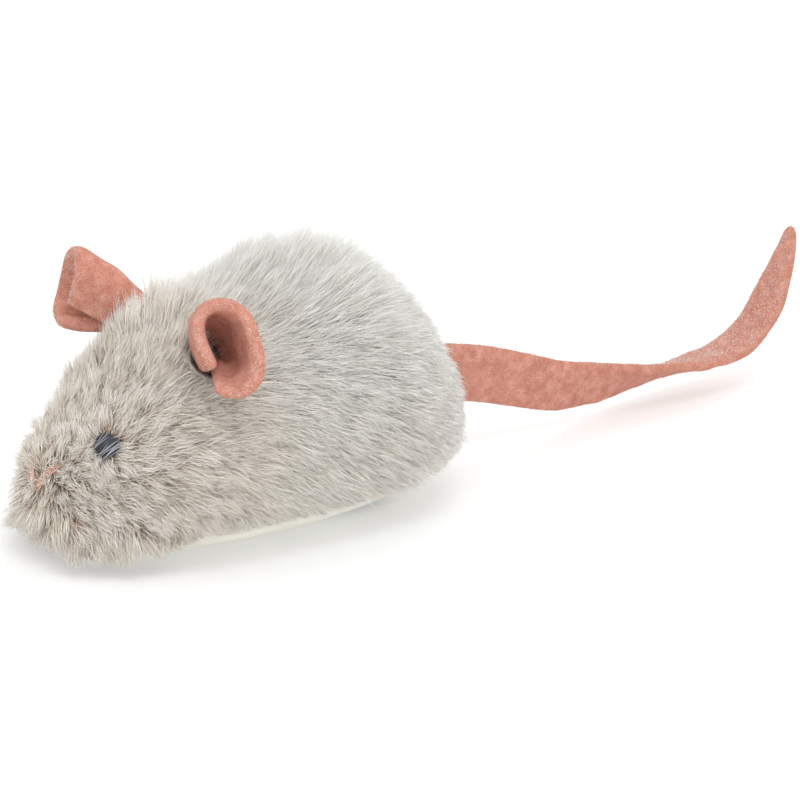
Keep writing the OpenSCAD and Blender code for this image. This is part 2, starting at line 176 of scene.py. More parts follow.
def strand_mesh(name, lines, radii, values):
    """One mesh of tapered three-sided hairs. lines is (hairs, points, 3) in millimetres, radii is (hairs,) at
    the root, and values maps a name to one number for each hair. along runs from 0 at a root to 1 at a tip.
    """
    count, rings = lines.shape[0], lines.shape[1] - 1
    t = np.linspace(0, 1, rings + 1)
    tangent = unit(np.gradient(lines, axis=1))
    guide = unit(rng.normal(size=(count, 1, 3)))
    across = unit(np.cross(tangent, guide))
    over = np.cross(tangent, across)
    width = radii[:, None] * (1 - 0.75 * t[None, :] ** 2)
    ring = []
    for turn in range(3):
        a = turn * 2 * math.pi / 3
        ring.append(lines + (across * math.cos(a) + over * math.sin(a)) * width[..., None])
    body = np.stack(ring, axis=2)[:, :rings]
    points = np.concatenate([body.reshape(count, rings * 3, 3), lines[:, -1:]], axis=1)
    per = rings * 3 + 1
    quads = [(3 * k + j, 3 * k + (j + 1) % 3, 3 * k + 3 + (j + 1) % 3, 3 * k + 3 + j)
             for k in range(rings - 1) for j in range(3)]
    tris = [(3 * rings - 3 + j, 3 * rings - 3 + (j + 1) % 3, per - 1) for j in range(3)] + [(2, 1, 0)]
    start = (np.arange(count) * per)[:, None, None]
    quads_all = (np.array(quads)[None] + start).reshape(-1, 4)
    tris_all = (np.array(tris)[None] + start).reshape(-1, 3)
    loops = np.concatenate([quads_all.ravel(), tris_all.ravel()]).astype(np.int32)
    first = np.concatenate([np.arange(len(quads_all)) * 4, quads_all.size + np.arange(len(tris_all)) * 3])
    mesh = bpy.data.meshes.new(name)
    mesh.vertices.add(count * per)
    mesh.vertices.foreach_set("co", at(points.reshape(-1, 3)).astype(np.float32).ravel())
    mesh.loops.add(len(loops))
    mesh.loops.foreach_set("vertex_index", loops)
    mesh.polygons.add(len(first))
    mesh.polygons.foreach_set("loop_start", first.astype(np.int32))
    mesh.polygons.foreach_set("use_smooth", np.ones(len(first), bool))
    mesh.update(calc_edges=True)
    along = np.concatenate([np.repeat(t[:rings], 3), [1.0]])
    fields = {"along": np.tile(along, count)}
    fields.update({key: np.repeat(v, per) for key, v in values.items()})
    for key, v in fields.items():
        mesh.attributes.new(key, "FLOAT", "POINT").data.foreach_set("value", v.astype(np.float32))
    cells = math.ceil(math.sqrt(count))
    cell = np.stack([np.arange(count) % cells, np.arange(count) // cells], axis=1)
    inside = np.stack([np.append(np.tile([0.3, 0.5, 0.7], rings), 0.5), 0.2 + 0.6 * along], axis=1)
    uv = ((cell[:, None, :] + inside[None]) / cells).reshape(-1, 2)
    mesh.uv_layers.new(name="OFBake").data.foreach_set("uv", uv[loops].astype(np.float32).ravel())
    thing = bpy.data.objects.new(name, mesh)
    bpy.context.scene.collection.objects.link(thing)
    return thing


# ---------------------------------------------------------------- materials


class Shader:
    """A material and short calls that add nodes to it."""

    def __init__(self, name, color, roughness, **sockets):
        self.material = bpy.data.materials.new(name)
        self.material.use_nodes = True
        self.tree = self.material.node_tree
        self.bsdf = self.tree.nodes["Principled BSDF"]
        self.set(self.bsdf, "Base Color", color)
        self.set(self.bsdf, "Roughness", roughness)
        for key, value in sockets.items():
            self.set(self.bsdf, key.replace("_", " "), value)

    def set(self, node, socket, value):
        """Links a socket to another node's output, or sets its number or colour."""
        if isinstance(value, bpy.types.NodeSocket):
            self.tree.links.new(value, node.inputs[socket])
        elif isinstance(value, tuple):
            node.inputs[socket].default_value = (*value[:3], 1)
        else:
            node.inputs[socket].default_value = value

    def add(self, kind, **settings):
        node = self.tree.nodes.new(kind)
        for key, value in settings.items():
            setattr(node, key, value)
        return node

    def place(self, stretch=(1, 1, 1)):
        """Object coordinates, in millimetres, stretched along the axes."""
        coords = self.add("ShaderNodeTexCoord")
        mapping = self.add("ShaderNodeMapping")
        mapping.inputs["Scale"].default_value = [s / MM for s in stretch]
        self.tree.links.new(coords.outputs["Object"], mapping.inputs["Vector"])
        return mapping.outputs["Vector"]

    def noise(self, size, detail=3, stretch=(1, 1, 1)):
        """Noise whose features are about size millimetres across."""
        node = self.add("ShaderNodeTexNoise")
        self.set(node, "Vector", self.place(stretch))
        self.set(node, "Scale", 1 / size)
        self.set(node, "Detail", detail)
        return node.outputs["Fac"]

    def field(self, name):
        return self.add("ShaderNodeAttribute", attribute_name=name).outputs["Fac"]

    def math(self, operation, a, b):
        node = self.add("ShaderNodeMath", operation=operation)
        for i, value in enumerate((a, b)):
            self.set(node, i, value)
        return node.outputs["Value"]

    def ramp(self, value, *stops):
        """Colours at places from 0 to 1."""
        node = self.add("ShaderNodeValToRGB")
        marks = node.color_ramp.elements
        while len(marks) < len(stops):
            marks.new(0.5)
        for mark, (place, color) in zip(marks, stops):
            mark.position = place
            mark.color = (*color, 1)
        self.set(node, "Fac", value)
        return node.outputs["Color"]

    def mix(self, factor, a, b, mode="MIX"):
        node = self.add("ShaderNodeMix", data_type="RGBA", blend_type=mode)
        self.set(node, 0, factor)
        for i, value in ((6, a), (7, b)):
            self.set(node, i, value)
        return node.outputs[2]

    def scale(self, value, low, high):
        """A 0 to 1 value spread over low to high."""
        node = self.add("ShaderNodeMapRange")
        self.set(node, "Value", value)
        self.set(node, "To Min", low)
        self.set(node, "To Max", high)
        return node.outputs["Result"]

    def color(self, value):
        self.set(self.bsdf, "Base Color", value)
        return self

    def rough(self, value):
        self.set(self.bsdf, "Roughness", value)
        return self

    def bump(self, height, depth):
        """Bumps depth millimetres high."""
        node = self.add("ShaderNodeBump")
        self.set(node, "Height", height)
        node.inputs["Distance"].default_value = depth * MM
        self.set(self.bsdf, "Normal", node.outputs["Normal"])
        return self


def pile_material():
    """Plush fibres: brown-beige at the root, pale at the tip, cooler and greyer where tone is high."""
    s = Shader("plush_pile", (0.6, 0.56, 0.5), 0.6, Sheen_Weight=0.3, Specular_IOR_Level=0.3)
    warm_stops = (0, (0.4, 0.25, 0.155)), (0.3, (0.68, 0.53, 0.4)), (0.62, (0.93, 0.885, 0.81))
    cool_stops = (0, (0.58, 0.53, 0.46)), (0.22, (0.8, 0.77, 0.71)), (0.5, (0.93, 0.93, 0.9))
    warm = s.ramp(s.field("along"), *warm_stops)
    cool = s.ramp(s.field("along"), *cool_stops)
    base = s.mix(s.field("tone"), warm, cool)
    shade = s.ramp(s.field("shade"), (0, (0.8, 0.75, 0.69)), (0.6, (1, 1, 1)))
    return s.color(s.mix(1.0, base, shade, "MULTIPLY")).material


def backing_material():
    """The knitted ground of the plush, with fine rows of loops."""
    s = Shader("plush_backing", (0.5, 0.42, 0.33), 0.9, Sheen_Weight=0.3)
    rows = s.add("ShaderNodeTexWave", wave_type="BANDS", bands_direction="X")
    s.set(rows, "Vector", s.place())
    s.set(rows, "Scale", 0.8)
    s.set(rows, "Distortion", 2.0)
    s.color(s.ramp(s.noise(1.5), (0.3, (0.44, 0.36, 0.28)), (0.7, (0.62, 0.54, 0.44))))
    return s.bump(rows.outputs["Fac"], 0.15).material


def felt_material(name, deep, mid, pale):
    """Pressed felt: matted fibres in several tones over a soft, uneven ground."""
    sheen = {"Sheen_Weight": 0.2, "Sheen_Roughness": 0.6, "Sheen_Tint": (1, 0.62, 0.5)}
    s = Shader(name, mid, 0.95, Specular_IOR_Level=0.1, **sheen)
    patches = s.ramp(s.noise(1.8, 6), (0.3, deep), (0.5, mid), (0.7, pale))
    fibres = s.ramp(s.noise(0.2, 6), (0.35, (0.76, 0.7, 0.68)), (0.62, (1.14, 1.14, 1.14)))
    s.color(s.mix(1.0, patches, fibres, "MULTIPLY"))
    return s.bump(s.noise(0.3, 6), 0.35).material


def fuzz_material(name, root, tip, pale_and_highlight):
    """Loose fibres, darker at the root, and paler where pale is high: painted highlight on felt fuzz, own
    tint on eye fibres.
    """
    s = Shader(name, tip, 0.8, Sheen_Weight=0.3, Specular_IOR_Level=0.15)
    # The pale field mixes in the pale colour: painted highlight on felt fuzz, real paleness on the eye fibres
    base = s.mix(s.field("pale"), s.ramp(s.field("along"), (0, root), (0.9, tip)), pale_and_highlight)
    shade = s.ramp(s.field("shade"), (0, (0.78, 0.74, 0.72)), (0.8, (1, 1, 1)))
    return s.color(s.mix(1.0, base, shade, "MULTIPLY")).material


def thread_material(name, dark, light):
    """Twisted embroidery thread with a satin shine."""
    s = Shader(name, dark, 0.32, Sheen_Weight=0.3, Specular_IOR_Level=0.6)
    twist = s.noise(0.18, 3, (1, 1, 2.5))
    s.color(s.ramp(twist, (0.35, dark), (0.75, light)))
    return s.bump(twist, 0.08).material


def plastic_material(name, color, grain, roughness, coat=0.0):
    """Moulded plastic: faint cloudiness in the colour, a fine surface grain, and slightly uneven gloss."""
    s = Shader(name, color, roughness, Coat_Weight=coat, Coat_Roughness=0.15, Specular_IOR_Level=0.5)
    pale = tuple(min(1, c * 1.05) for c in color)
    deep = tuple(c * 0.93 for c in color)
    s.color(s.ramp(s.noise(9, 2), (0.3, deep), (0.7, pale)))
    s.rough(s.scale(s.noise(2.5, 4), roughness - 0.07, roughness + 0.09))
    return s.bump(s.noise(grain, 3), 0.02).material


def metal_material(name, color, roughness, stretch=(1, 1, 1), dirt=(0.5, 0.5, 0.5)):
    """Drawn or cut metal: fine marks along the work, and duller, darker patches."""
    s = Shader(name, color, roughness, Metallic=1.0)
    marks = s.noise(0.25, 4, stretch)
    tint = tuple(c * d * 1.5 for c, d in zip(color, dirt))
    s.color(s.ramp(s.noise(3, 5), (0.3, tint), (0.55, color)))
    s.rough(s.scale(marks, roughness - 0.1, roughness + 0.16))
    return s.bump(marks, 0.015).material


def rubber_material():
    s = Shader("tyre_rubber", (0.025, 0.025, 0.026), 0.75, Specular_IOR_Level=0.35)
    s.color(s.ramp(s.noise(1.2, 5), (0.35, (0.018, 0.018, 0.019)), (0.75, (0.06, 0.058, 0.055))))
    return s.bump(s.noise(0.3, 3), 0.04).material


# ---------------------------------------------------------------- plush body

# The skin under the pile, at stations along X: [x, half width, underside, widest height, top]
SKIN = np.array([
    [-38.5, 5, 7, 11, 15], [-37, 9.5, 6.3, 11, 21], [-33.5, 13.5, 6.3, 11, 27.7],
    [-28, 16.3, 6.3, 11, 32.9], [-21, 18, 6.3, 11, 36], [-12, 18.6, 6.3, 11, 37.2],
    [-2, 18.6, 6.3, 11, 36.1], [8, 18, 6.3, 11, 34.4], [16, 16.8, 6.3, 11, 31.8],
    [23, 14.8, 6.3, 11, 27.8], [29, 12.2, 6.3, 11, 24.2], [34, 9.2, 6.6, 11.5, 21],
    [37, 6.2, 8.5, 13.5, 18.6], [39, 2.6, 12, 14.2, 16.4],
])

# The tray's oval, with its half length and half width at the foot and at the rim
RIM_TOP = 6.3
TRAY_FOOT = 1.8
TRAY_X = -2
TRAY_LEN = (36, 37.5)
TRAY_WID = (15.8, 18)
TRAY_GAP = 0.3

# Lowest height of the pile round the tray and under the chin
HEM = 4.7
CHIN_HEM = 2.3

# The middle of the snout, and the two ends of the nose's left arm of stitches
NOSE = np.array([39.6, 0, 14.6])
NOSE_FOOT = np.array([40.7, 0.2, 12.8])
NOSE_TOP = np.array([38.3, 3, 17.6])
EYE = np.array([32, 7.4, 20.4])

# The winding arbor as [x, z], the room that the pile leaves round the key's stem and behind its wings, and
# how far from the arbor the first hairs are rooted
ARBOR = np.array([-1, 14])
KEY_SIDE_Y = -17
STEM_CLEAR_R = 2.7
WINGS_CLEAR_R = 11
WINGS_CLEAR_Y = -24.6
KEY_HOLE_R = 3.2

# Each ear's flat is the width and depth, in metres, of the felt that it unrolls to, and area is that felt's
# area in square metres
EARS = [
    {"foot": np.array([11, 7.5, 31.2]), "mouth": np.array([17.5, 21, 37.6]), "face": (0.68, 0.63, 0.37),
     "lean": 5, "size": 0.87, "flat": (0.036, 0.019), "area": 0.000447},
    {"foot": np.array([11, -7.5, 31.2]), "mouth": np.array([20.3, -20.5, 38.8]), "face": (0.93, -0.33, 0.12),
     "lean": 0, "size": 0.74, "flat": (0.031, 0.022), "area": 0.000402},
]
# The skin's outward direction where the left ear is sewn on
EAR_GROUND = np.array([0.15, 0.42, 0.9])

TUFTS = 6500
GUARD_HAIRS = 122000
UNDERCOAT_HAIRS = 36000
HAIRS_A_PIECE = 8800


def smooth_stations(rows):
    """The stations joined by a smooth curve, as rows of [x, half width, underside, widest height, top]."""
    steps = np.concatenate([[0], np.cumsum(np.linalg.norm(np.diff(SKIN[:, [0, 1, 4]], axis=0), axis=1))])
    s = np.linspace(0, steps[-1], rows)
    slope = np.gradient(SKIN, steps, axis=0)
    k = np.clip(np.searchsorted(steps, s, side="right") - 1, 0, len(SKIN) - 2)
    h = (steps[k + 1] - steps[k])[:, None]
    u = ((s - steps[k]) / h[:, 0])[:, None]
    curve = ((2 * u**3 - 3 * u**2 + 1) * SKIN[k] + (u**3 - 2 * u**2 + u) * h * slope[k]
             + (3 * u**2 - 2 * u**3) * SKIN[k + 1] + (u**3 - u**2) * h * slope[k + 1])
    return curve


def skin_rings(rows, cols):
    """Points of the skin, one ring a station. A ring is a half ellipse, tucked in below its widest height."""
    s = smooth_stations(rows)
    t = np.linspace(0, math.pi, cols - 8)
    arc_y, arc_z = np.cos(t), np.sin(t)
    tuck = np.linspace(0, 1, 6)[1:]
    rings = []
    for x, w, low, mid, top in s:
        low = low if low > RIM_TOP + 0.2 else RIM_TOP
        upper = np.stack([w * arc_y, mid + (top - mid) * arc_z], axis=1)
        fall = np.stack([-w * (1 - 0.06 * tuck**2), mid + (low - mid) * tuck], axis=1)
        rise = np.stack([w * (1 - 0.06 * tuck[:-1][::-1]**2), mid + (low - mid) * tuck[:-1][::-1]], axis=1)
        base = np.array([[w * 0.94, low]])
        ring = np.concatenate([upper, fall, base, rise])
        rings.append(np.column_stack([np.full(len(ring), x), ring]))
    return np.array(rings)


def lumps(points, size, depth, seed):
    """Soft lumps: a sum of a few waves in fixed random directions."""
    waves = np.random.default_rng(seed)
    total = np.zeros(points.shape[:-1])
    for _ in range(5):
        way = unit(waves.normal(size=3)) * 2 * math.pi / (size * waves.uniform(0.7, 1.6))
        total += np.sin(points @ way + waves.uniform(0, 6.3))
    return total * depth / 3


def make_skin():
    """The knitted cover, closed at both ends and underneath. The pile grows from it."""
    rings = skin_rings(110, 76)
    rows, cols = rings.shape[:2]
    middle = np.stack([rings[..., 0], np.zeros((rows, cols)), np.full((rows, cols), 14.0)], axis=-1)
    out = unit(rings - middle)
    raise_by = lumps(rings, 16, 0.5, 3) * ease(rings[..., 2], RIM_TOP, 12)
    rings = rings + out * raise_by[..., None]
    points = rings.reshape(-1, 3)
    ends = np.array([rings[0].mean(0), rings[-1].mean(0)])
    faces = grid_faces(rows, cols, closed=True)
    faces += [(len(points), (j + 1) % cols, j) for j in range(cols)]
    last = (rows - 1) * cols
    faces += [(len(points) + 1, last + j, last + (j + 1) % cols) for j in range(cols)]
    skin = smooth(mesh_object("plush_skin", at(np.concatenate([points, ends])), faces))
    return paint(skin, backing_material())


def mesh_sites(thing, count, above=None):
    """Random places on a mesh, each with its outward normal, in the mouse's frame and spread evenly by area.
    Faces that lie wholly below the height above are left out."""
    mesh = thing.data
    mesh.calc_loop_triangles()
    co = np.zeros(len(mesh.vertices) * 3, np.float32)
    mesh.vertices.foreach_get("co", co)
    co = (co.reshape(-1, 3) - ORIGIN) / MM
    normals = np.zeros(len(mesh.vertices) * 3, np.float32)
    mesh.vertices.foreach_get("normal", normals)
    normals = normals.reshape(-1, 3)
    tri = np.zeros(len(mesh.loop_triangles) * 3, np.int32)
    mesh.loop_triangles.foreach_get("vertices", tri)
    tri = tri.reshape(-1, 3)
    a, b, c = co[tri[:, 0]], co[tri[:, 1]], co[tri[:, 2]]
    area = np.linalg.norm(np.cross(b - a, c - a), axis=1)
    if above is not None:
        area[(co[tri][..., 2] < above).all(axis=1)] = 0
    pick = rng.choice(len(tri), count, p=area / area.sum())
    u, v = rng.random((2, count))
    flip = u + v > 1
    u[flip], v[flip] = 1 - u[flip], 1 - v[flip]
    weights = np.stack([1 - u - v, u, v], axis=1)[..., None]
    place = (co[tri[pick]] * weights).sum(axis=1)
    normal = unit((normals[tri[pick]] * weights).sum(axis=1))
    return place, normal


def flow(place, normal):
    """The way the pile is brushed: out from the nose on the face, back along the body, down at the sides."""
    x, y, z = place.T
    side = ease(np.abs(y), 4, 17)[:, None]
    body = np.array([-1, 0, -0.1]) + side * np.array([0.1, 0, -0.5])
    body = body + ease(-x, 26, 38)[:, None] * np.array([0.3, 0, -0.7])
    face = unit(place - NOSE) + ease(12 - z, 0, 5)[:, None] * np.array([0.5, 0, -1.3])
    near_face = ease(x, 12, 30)[:, None]
    way = body * (1 - near_face) + face * near_face
    for sign in (1, -1):
        away = place - EYE * np.array([1, sign, 1])
        gap = np.linalg.norm(away, axis=1)
        way = way + (unit(away) * (1.4 * (1 - ease(gap, 2, 7)))[:, None])
    way = way - normal * (way * normal).sum(axis=1, keepdims=True)
    return unit(way)


def crest(place):
    """1 along the ridge of the back behind the ears, 0 away from it."""
    x, _, z = place.T
    return ease(z, 26, 34) * ease(x, -24, -10) * (1 - 0.9 * ease(x, -5, 8))


def between_ears(place):
    """1 on the top of the head between the ears, 0 away from it."""
    x, _, z = place.T
    return ease(z, 26, 30) * ease(x, 7, 13) * (1 - ease(x, 19, 24))


def pile_length(place):
    """Millimetres of pile: short on the snout, rump and hem, long on the cheeks, chin and back."""
    x, _, z = place.T
    length = 8.4 - 3.7 * ease(x, 21, 34) * ease(z, 8, 15)
    length = length + 2.4 * crest(place) + 1.0 * between_ears(place)
    length = length + 0.3 * ease(x, 24, 32) * ease(12 - z, 0, 4)
    length = length - 3.6 * ease(-x, 12, 34)
    hem = (1 - ease(z, 7, 13)) * (1 - ease(x, 18, 27))
    return length * (1 - 0.45 * hem)


def pile_stand(place):
    """How upright the pile stands: most along the top of the back and behind the ears."""
    return 0.26 + 0.62 * crest(place) + 0.6 * between_ears(place) - 0.16 * ease(-place[:, 0], 20, 34)


def grow(root, normal, way, length, stand, steps):
    """Hairs that leave the skin along the normal and bend over along their way."""
    line = [root - normal * 0.3]
    first = normal * 0.95 + way * 0.45
    last = normal * stand[:, None] + way * 1.0 + np.array([0, 0, -0.08])
    curl = unit(np.cross(normal, way) + normal * rng.normal(0, 0.6, (len(root), 1)))
    swing = rng.normal(0, 0.55, (len(root), 1))
    start = rng.uniform(0, 6.3, (len(root), 1))
    for k in range(steps):
        t = (k + 0.5) / steps
        bend = curl * swing * np.sin(start + 5 * t)
        line.append(line[-1] + unit(first * (1 - t) + last * t + bend) * (length / steps)[:, None])
    return np.stack(line, axis=1)


def push_out(a, b, inside):
    """Moves points at the coordinates a and b, scaled to a unit circle, out of it where inside holds."""
    far = np.maximum(np.hypot(a, b), 0.05)
    push = np.where(inside & (far < 1), 1 / far, 1)
    return a * push, b * push


def ear_gauge(points, ear):
    """How far points are from an ear's middle line, towards its back and upwards, as shares of its half
    widths there, then whether they are level with the ear, and those half widths."""
    back, up, _ = ear_axes(ear)
    axis = ear["mouth"] - ear["foot"]
    gap = points - ear["foot"]
    rise = gap @ axis / (axis @ axis)
    off = gap - rise[..., None] * axis
    part = np.clip(rise, 0, 1)
    grown = 1 - (1 - part) ** 2.3
    wide = (2.4 + 3.7 * grown) * ear["size"] / EARS[0]["size"]
    high = np.where(off @ up > 0, 3.8 + 3.6 * grown, 2.6 + 4.8 * part**1.2) * ear["size"] / EARS[0]["size"]
    return off @ back / wide, off @ up / high, (rise > -0.12) & (rise < 1.15), wide, high


def keep_clear(lines):
    """Moves hair points out of the tray, off the floor, off the key's stem and wings, and out of the ears."""
    x, y, z = lines[..., 0], lines[..., 1], lines[..., 2]
    hem = HEM + (CHIN_HEM - HEM) * ease(x, 22, 32)
    z[:] = np.where(z < hem + 1, hem + np.exp(np.minimum(z - hem - 1, 0)), z)
    level = np.clip((z - TRAY_FOOT) / (RIM_TOP - TRAY_FOOT), 0, 1)
    long_r = TRAY_LEN[0] + (TRAY_LEN[1] - TRAY_LEN[0]) * level + TRAY_GAP
    wide_r = TRAY_WID[0] + (TRAY_WID[1] - TRAY_WID[0]) * level + TRAY_GAP
    a, b = push_out((x - TRAY_X) / long_r, y / wide_r, z < RIM_TOP)
    x[:], y[:] = TRAY_X + a * long_r, b * wide_r
    a, b = push_out((x - ARBOR[0]) / STEM_CLEAR_R, (z - ARBOR[1]) / STEM_CLEAR_R, y < KEY_SIDE_Y)
    x[:], z[:] = ARBOR[0] + a * STEM_CLEAR_R, ARBOR[1] + b * STEM_CLEAR_R
    behind_wings = np.hypot(x - ARBOR[0], z - ARBOR[1]) < WINGS_CLEAR_R
    y[:] = np.where(behind_wings, np.maximum(y, WINGS_CLEAR_Y), y)
    for ear in EARS:
        back, up, _ = ear_axes(ear)
        a, b, level_with, wide, high = ear_gauge(lines, ear)
        at_root = unit(np.stack([a[:, :1], b[:, :1]], axis=-1))
        out = unit(np.stack([a, b], axis=-1) + 1.2 * at_root)
        inside = level_with & (np.hypot(a, b) < 1)
        lines += back * (np.where(inside, out[..., 0] - a, 0) * wide)[..., None]
        lines += up * (np.where(inside, out[..., 1] - b, 0) * high)[..., None]
    return lines


def in_ear(root):
    """True for hairs that would start inside an ear."""
    found = np.zeros(len(root), bool)
    for ear in EARS:
        a, b, level_with, _, _ = ear_gauge(root, ear)
        found |= level_with & (np.hypot(a, b) < 0.8)
    return found


def bare(place):
    """True where no pile grows: under the eyes and the nose's stitches, in the ears, and round the key."""
    eye = np.minimum(*(np.linalg.norm(place - EYE * np.array([1, s, 1]), axis=1) for s in (1, -1)))
    from_arbor = np.hypot(place[:, 0] - ARBOR[0], place[:, 2] - ARBOR[1])
    hole = (place[:, 1] < -10) & (from_arbor < KEY_HOLE_R)
    arm = NOSE_TOP[1:] - NOSE_FOOT[1:]
    gap = np.column_stack([np.abs(place[:, 1]), place[:, 2]]) - NOSE_FOOT[1:]
    part = np.clip(gap @ arm / (arm @ arm), 0, 1)
    snout = (np.linalg.norm(gap - part[:, None] * arm, axis=1) < 0.4) & (place[:, 0] > 34)
    return (eye < 1.6) | hole | snout | in_ear(place)


def make_pile(skin):
    """The pile: tufts of long guard hairs that draw together at their tips, over a short, dense undercoat.
    The tufts are large and ragged on the face, and small and soft on the body."""
    steps = 4
    above = RIM_TOP + 0.05
    t_root, t_normal = mesh_sites(skin, TUFTS, above)
    kept = rng.random(TUFTS) > 0.5 * ease(t_root[:, 0], 4, 24)
    t_root, t_normal = t_root[kept], t_normal[kept]
    ruffle = 0.3 + 0.7 * ease(t_root[:, 0], 4, 24)
    t_way = unit(flow(t_root, t_normal) + unit(rng.normal(size=t_root.shape)) * (0.5 * ruffle)[:, None])
    t_length = pile_length(t_root) * rng.normal(1, 0.12, len(t_root)).clip(0.7, 1.3)
    t_stand = pile_stand(t_root) + rng.normal(0, 0.18, len(t_root)) + 0.2 * ruffle
    t_line = grow(t_root, t_normal, t_way, t_length, t_stand, steps)
    t_shade = 0.6 * rng.random(len(t_root)) + 0.2 + lumps(t_root, 9, 0.45, 21) * ruffle
    root, normal = mesh_sites(skin, GUARD_HAIRS, above)
    keep = ~bare(root)
    root, normal = root[keep], normal[keep]
    owner = nearest(root, t_root)
    count = len(root)
    way = unit(t_way[owner] + unit(rng.normal(size=(count, 3))) * 0.38)
    length = t_length[owner] * rng.normal(0.95, 0.13, count).clip(0.55, 1.2)
    lines = grow(root, normal, way, length, t_stand[owner] + rng.normal(0, 0.12, count), steps)
    pull = rng.uniform(0.08, 0.55, count) + 0.17 * ruffle[owner]
    gather = (np.linspace(0, 1, steps + 1) ** 1.3)[None, :, None] * pull[:, None, None]
    lines = lines + (t_line[owner] - lines) * gather
    shade = np.clip(0.5 * t_shade[owner] + 0.5 * rng.random(count), 0, 1)
    save_pile("pile", keep_clear(lines), rng.uniform(0.05, 0.085, count), shade)
    root, normal = mesh_sites(skin, UNDERCOAT_HAIRS, above)
    keep = ~bare(root)
    root, normal = root[keep], normal[keep]
    way = unit(flow(root, normal) + unit(rng.normal(size=root.shape)) * 0.6)
    length = pile_length(root) * rng.uniform(0.35, 0.6, len(root))
    lines = grow(root, normal, way, length, np.full(len(root), 0.5), 2)
    clear = keep_clear(lines)
    save_pile("undercoat", clear, rng.uniform(0.1, 0.15, len(lines)), rng.random(len(lines)) * 0.8)


def nearest(points, centres):
    """For each point, which centre is nearest, with ragged borders between neighbours."""
    found = np.zeros(len(points), int)
    for i in range(0, len(points), 2000):
        part = points[i:i + 2000] + rng.normal(0, 0.25, (len(points[i:i + 2000]), 3))
        found[i:i + 2000] = ((part[:, None] - centres[None]) ** 2).sum(axis=2).argmin(axis=1)
    return found


def save_pile(name, lines, radii, shade):
    """Numbered pieces of at most HAIRS_A_PIECE hairs, in bands from the rump to the nose."""
    root = lines[:, 0]
    tone = ease(-root[:, 0], -24, 4) * (0.45 + 0.55 * ease(root[:, 2], 14, 30))
    tone = np.clip(tone + rng.normal(0, 0.12, len(root)), 0, 1)
    order = np.argsort(root[:, 0])
    for number, pick in enumerate(np.array_split(order, math.ceil(len(order) / HAIRS_A_PIECE)), 1):
        fields = {"shade": shade[pick], "tone": tone[pick]}
        piece = strand_mesh(f"{name}_{number}", lines[pick], radii[pick], fields)
        paint(piece, PILE)
        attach(piece, "root")


def make_filling():
    """The fibre fill: the padding's own hollow block, softened and lumpy."""
    filling = bpy.data.objects.new("fibre_filling", nodes["padding"].data.copy())
    bpy.context.scene.collection.objects.link(filling)
    mesh = filling.modifiers.new("mesh", "REMESH")
    mesh.mode = "VOXEL"
    mesh.voxel_size = 1.1 * MM
    soften = filling.modifiers.new("soften", "SMOOTH")
    soften.iterations = 4
    apply_modifiers(filling)
    co = np.zeros(len(filling.data.vertices) * 3, np.float32)
    filling.data.vertices.foreach_get("co", co)
    points = (co.reshape(-1, 3) - ORIGIN) / MM
    outside = ease(np.abs(points[:, 1]), 11.5, 13) + ease(points[:, 2], 29, 31)
    depth = (0.5 + lumps(points, 6, 0.4, 8))[:, None]
    points -= unit(points - np.array([0, 0, 12])) * depth * outside.clip(0, 1)[:, None]
    filling.data.vertices.foreach_set("co", at(points).astype(np.float32).ravel())
    s = Shader("fibre_fill", (0.8, 0.8, 0.78), 0.9, Sheen_Weight=0.5)
    s.color(s.ramp(s.noise(1.5, 5), (0.3, (0.62, 0.62, 0.6)), (0.7, (0.85, 0.85, 0.83))))
    s.bump(s.noise(0.5, 6), 0.4)
    smooth(paint(filling, s.material))
    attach(filling, "root")
    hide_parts("padding")


# ---------------------------------------------------------------- felt

TAIL_FELT = 2.0
EAR_FELT = 2.3
# Middle of the felt at an ear's mouth, as (towards the back, upwards), from the seam's inner end round to its
# outer end
EAR_LIP = [(-3.4, -3.9), (-4.6, -0.5), (-5.6, 3), (-5.3, 6), (-3.4, 7.8), (-0.3, 7.7), (2.6, 5.6), (4.2, 2),
           (5.2, -2), (5, -4.9), (3, -6.6), (0, -6.7), (-2.9, -5.6)]
# Half widths of the ear where it is pinched flat and sewn on, across and along the seam
EAR_PINCH = (1.3, 3.7)

# The tail's route: [x, y, z, roll in degrees], the roll turning the strip from upright to flat
TAIL = np.array([
    [-36, 0, 16.9, 0], [-39, 0, 16.6, 0], [-50, 0, 14.6, 0], [-61, 0, 11.2, 4], [-70, 0, 8.3, 11],
    [-79, 0, 6.8, 26], [-88, 0, 6.1, 46], [-97, 0, 6, 68], [-105, 0, 6.2, 84], [-111.5, 0, 6.9, 90],
    [-116.8, 0, 9.2, 90], [-120.6, 0, 13.3, 90], [-123.4, 0, 18.4, 90], [-125.4, 0, 23.4, 90],
    [-126.8, 0, 28, 90],
])
TAIL_WIDE = (10.5, 8)


def curve_through(points, count):
    """Evenly spaced points on a smooth curve through the given ones."""
    points = np.asarray(points, float)
    marks = np.concatenate([[0], np.cumsum(np.linalg.norm(np.diff(points[:, :3], axis=0), axis=1))])
    slope = np.gradient(points, marks, axis=0)
    s = np.linspace(0, marks[-1], count)
    k = np.clip(np.searchsorted(marks, s, side="right") - 1, 0, len(points) - 2)
    h = (marks[k + 1] - marks[k])[:, None]
    u = (s[:, None] - marks[k][:, None]) / h
    return ((2 * u**3 - 3 * u**2 + 1) * points[k] + (u**3 - 2 * u**2 + u) * h * slope[k]
            + (3 * u**2 - 2 * u**3) * points[k + 1] + (u**3 - u**2) * h * slope[k + 1])


def ear_axes(ear):
    """An ear's mouth plane: the directions away from the nose and up, and the way that it faces."""
    face = unit(ear["face"])
    side = np.sign(ear["foot"][1])
    back = side * unit(np.cross([0, 0, 1], face))
    up = side * np.cross(face, back)
    lean = math.radians(ear["lean"])
    return back * math.cos(lean) + up * math.sin(lean), up * math.cos(lean) - back * math.sin(lean), face


